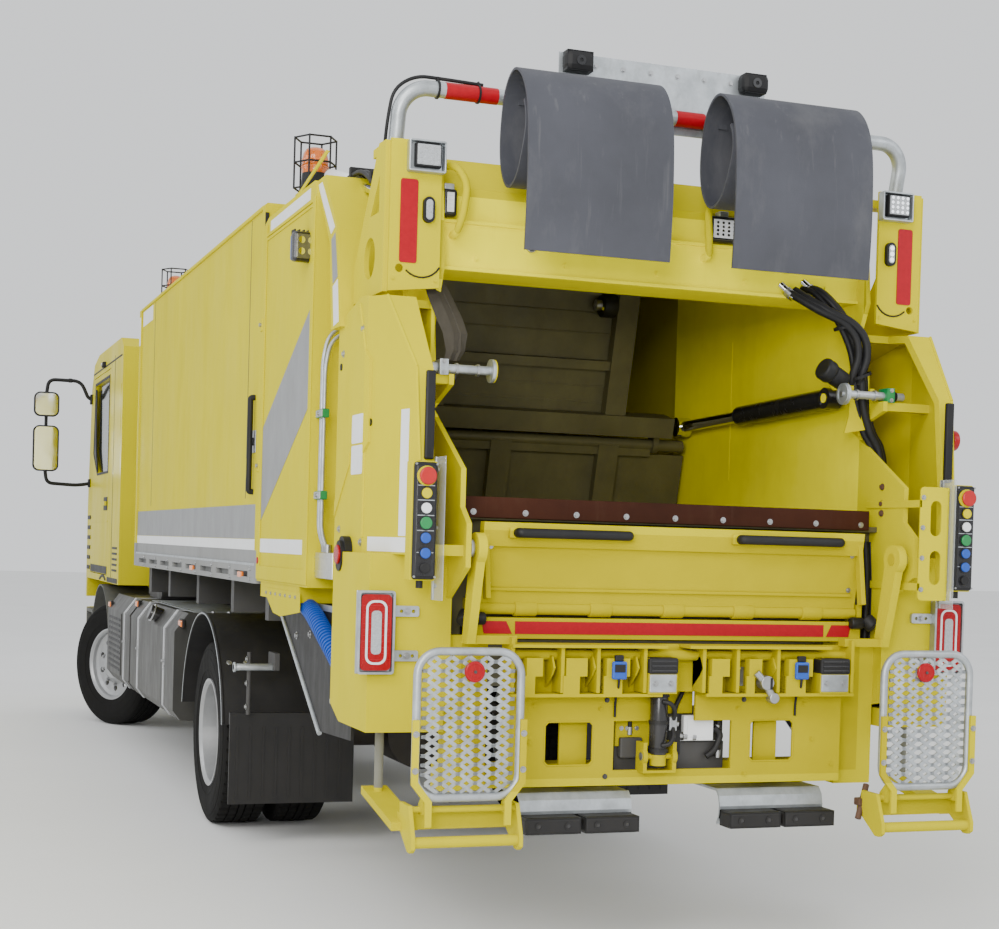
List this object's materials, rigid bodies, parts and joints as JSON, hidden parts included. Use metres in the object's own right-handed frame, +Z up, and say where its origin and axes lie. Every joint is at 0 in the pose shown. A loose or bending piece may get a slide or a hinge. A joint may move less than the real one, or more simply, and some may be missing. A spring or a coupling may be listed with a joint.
{
  "type": "refuse truck",
  "caption": "Rear-loading refuse truck with tilting cab, twin rear wheels, hollow load body, lifting tailgate with press, bin lift and folding rear footboards.",
  "frame": {"origin": "centre of the outline on the ground, under the middle of the truck's length and width", "axes": "+Y to the front of the truck, +X to its right-hand side, +Z up"},
  "size_m": [3.43, 10.326, 3.56],
  "materials": {
    "amber": "amber lens in a wire cage",
    "black_plastic": "matte",
    "cab_paint": "gloss paint",
    "cast_iron": "dirty",
    "chrome": "polished rod",
    "control": "yellow box with coloured buttons",
    "dark_frame": "satin black paint, dirty",
    "galvanised": "galvanised",
    "glass": "tinted",
    "interior": "dark grey",
    "lamp": "lenses",
    "rubber": "grey, dusty",
    "silver_rim": "silver paint, dusty",
    "tyre": "worn rubber",
    "worn_steel": "worn, dirty",
    "yellow_paint": "gloss paint, dusty"
  },
  "bodies": {
    "chassis": {"chassis_frame": "dark_frame", "engine_block": "cast_iron", "rear_axle": "cast_iron", "front_axle": "cast_iron", "load_body": "yellow_paint", "hydraulic_tank": "dark_frame", "left_tank_and_box": "dark_frame", "battery_box": "dark_frame", "silencer": "worn_steel", "rear_mudguards": "black_plastic", "front_wings": "black_plastic", "front_bumper": "cab_paint", "front_beacon": "amber"},
    "rear_left_wheels": {"rear_left_rims": "silver_rim", "rear_left_tyres": "tyre"},
    "rear_right_wheels": {"rear_right_rims": "silver_rim", "rear_right_tyres": "tyre"},
    "left_steering": {"left_knuckle": "cast_iron"},
    "right_steering": {"right_knuckle": "cast_iron"},
    "tie_rod": {"tie_rod": "cast_iron"},
    "front_left_wheel": {"front_left_rim": "silver_rim", "front_left_tyre": "tyre"},
    "front_right_wheel": {"front_right_rim": "silver_rim", "front_right_tyre": "tyre"},
    "cab": {"cab_shell": "cab_paint", "windscreen": "glass", "cab_interior": "interior", "mirrors": "black_plastic"},
    "left_door": {"left_door": "cab_paint", "left_door_glass": "glass"},
    "right_door": {"right_door": "cab_paint", "right_door_glass": "glass"},
    "tailgate": {"tailgate_left_side": "yellow_paint", "tailgate_right_side": "yellow_paint", "hopper_trough": "worn_steel", "rear_frame": "yellow_paint", "tailgate_top": "yellow_paint", "lamp_plates": "yellow_paint", "upper_lamps": "lamp", "top_tube": "galvanised", "rubber_flaps": "rubber", "control_boxes": "control", "tail_lamps": "galvanised", "grab_handles": "galvanised", "splash_guards": "black_plastic", "underrun_guard": "galvanised", "footboard_feet": "yellow_paint", "rear_beacon": "amber"},
    "lift_barrels": {"lift_barrels": "dark_frame"},
    "lift_rods": {"lift_rods": "chrome"},
    "ejector": {"ejector_plate": "worn_steel"},
    "press": {"press_frame": "worn_steel"},
    "sweep": {"sweep_blade": "worn_steel"},
    "press_barrels": {"press_barrels": "dark_frame"},
    "press_rods": {"press_rods": "chrome"},
    "hopper_flap": {"hopper_flap": "yellow_paint"},
    "bin_lift": {"bin_lift": "yellow_paint"},
    "left_footboard": {"left_footboard": "galvanised"},
    "right_footboard": {"right_footboard": "galvanised"}
  },
  "joints": [
    {"name": "rear_left_wheels_spin", "type": "hinge", "parent": "chassis", "child": "rear_left_wheels", "pos_m": [-0.9, -1.335, 0.507], "axis": [1, 0, 0], "continuous": true},
    {"name": "rear_right_wheels_spin", "type": "hinge", "parent": "chassis", "child": "rear_right_wheels", "pos_m": [0.9, -1.335, 0.507], "axis": [1, 0, 0], "continuous": true},
    {"name": "left_steer", "type": "hinge", "parent": "chassis", "child": "left_steering", "pos_m": [-0.86, 3.865, 0.507], "axis": [0, 0, 1], "range_deg": [-68, 12]},
    {"name": "right_steer", "type": "hinge", "parent": "chassis", "child": "right_steering", "pos_m": [0.86, 3.865, 0.507], "axis": [0, 0, 1], "range_deg": [-68, 12]},
    {"name": "tie_rod_turn", "type": "hinge", "parent": "left_steering", "child": "tie_rod", "pos_m": [-0.75437, 3.66634, 0.44], "axis": [0, 0, 1], "range_deg": [-12, 68]},
    {"name": "front_left_wheel_spin", "type": "hinge", "parent": "left_steering", "child": "front_left_wheel", "pos_m": [-1.01452, 3.78284, 0.507], "axis": [0.8829, 0.4695, 0], "continuous": true},
    {"name": "front_right_wheel_spin", "type": "hinge", "parent": "right_steering", "child": "front_right_wheel", "pos_m": [1.01452, 3.94716, 0.507], "axis": [0.8829, 0.4695, 0], "continuous": true},
    {"name": "cab_tilt", "type": "hinge", "parent": "chassis", "child": "cab", "pos_m": [0, 4.985, 1.13], "axis": [-1, 0, 0], "range_deg": [0, 55]},
    {"name": "left_door_swing", "type": "hinge", "parent": "cab", "child": "left_door", "pos_m": [-1.195, 4.808, 2], "axis": [0, 0, -1], "range_deg": [0, 75]},
    {"name": "right_door_swing", "type": "hinge", "parent": "cab", "child": "right_door", "pos_m": [1.195, 4.808, 2], "axis": [0, 0, 1], "range_deg": [0, 75]},
    {"name": "tailgate_lift", "type": "hinge", "parent": "chassis", "child": "tailgate", "pos_m": [0, -2.825, 3.16], "axis": [-1, 0, 0], "range_deg": [0, 80]},
    {"name": "lift_barrels_turn", "type": "hinge", "parent": "chassis", "child": "lift_barrels", "pos_m": [0, -1.565, 3.31], "axis": [-1, 0, 0], "range_deg": [0, 7]},
    {"name": "lift_rods_slide", "type": "slide", "parent": "lift_barrels", "child": "lift_rods", "axis": [0, 1, 0.0066], "range_m": [0, 0.345]},
    {"name": "ejector_slide", "type": "slide", "parent": "chassis", "child": "ejector", "axis": [0, -1, 0], "range_m": [0, 3.35]},
    {"name": "press_swing", "type": "hinge", "parent": "tailgate", "child": "press", "pos_m": [0, -3.175, 2.95], "axis": [-1, 0, 0], "range_deg": [0, 40]},
    {"name": "sweep_swing", "type": "hinge", "parent": "press", "child": "sweep", "pos_m": [0, -2.99119, 2.13011], "axis": [-1, 0, 0], "range_deg": [0, 45]},
    {"name": "press_barrels_turn", "type": "hinge", "parent": "tailgate", "child": "press_barrels", "pos_m": [0, -4.465, 2.27], "axis": [1, 0, 0], "range_deg": [0, 3.5]},
    {"name": "press_rods_slide", "type": "slide", "parent": "press_barrels", "child": "press_rods", "axis": [0, -0.9996, 0.0296], "range_m": [0, 0.52]},
    {"name": "hopper_flap_swing", "type": "hinge", "parent": "tailgate", "child": "hopper_flap", "pos_m": [0, -4.773, 1.365], "axis": [1, 0, 0], "range_deg": [0, 80]},
    {"name": "bin_lift_swing", "type": "hinge", "parent": "tailgate", "child": "bin_lift", "pos_m": [0, -4.979, 1.59], "axis": [-1, 0, 0], "range_deg": [0, 120]},
    {"name": "left_footboard_fold", "type": "hinge", "parent": "tailgate", "child": "left_footboard", "pos_m": [-0.95, -5.095, 0.655], "axis": [1, 0, 0], "range_deg": [0, 90]},
    {"name": "right_footboard_fold", "type": "hinge", "parent": "tailgate", "child": "right_footboard", "pos_m": [0.95, -5.095, 0.655], "axis": [1, 0, 0], "range_deg": [0, 90]}
  ],
  "couplings": [
    {"joint": "right_steer", "follows": "left_steer", "ratio": 1},
    {"joint": "tie_rod_turn", "follows": "left_steer", "ratio": -1},
    {"joint": "lift_barrels_turn", "follows": "tailgate_lift", "ratio": 0.07853},
    {"joint": "lift_rods_slide", "follows": "tailgate_lift", "m_per_rad": 0.24228},
    {"joint": "press_barrels_turn", "follows": "press_swing", "ratio": 0.07809},
    {"joint": "press_rods_slide", "follows": "press_swing", "m_per_rad": 0.71953}
  ]
}
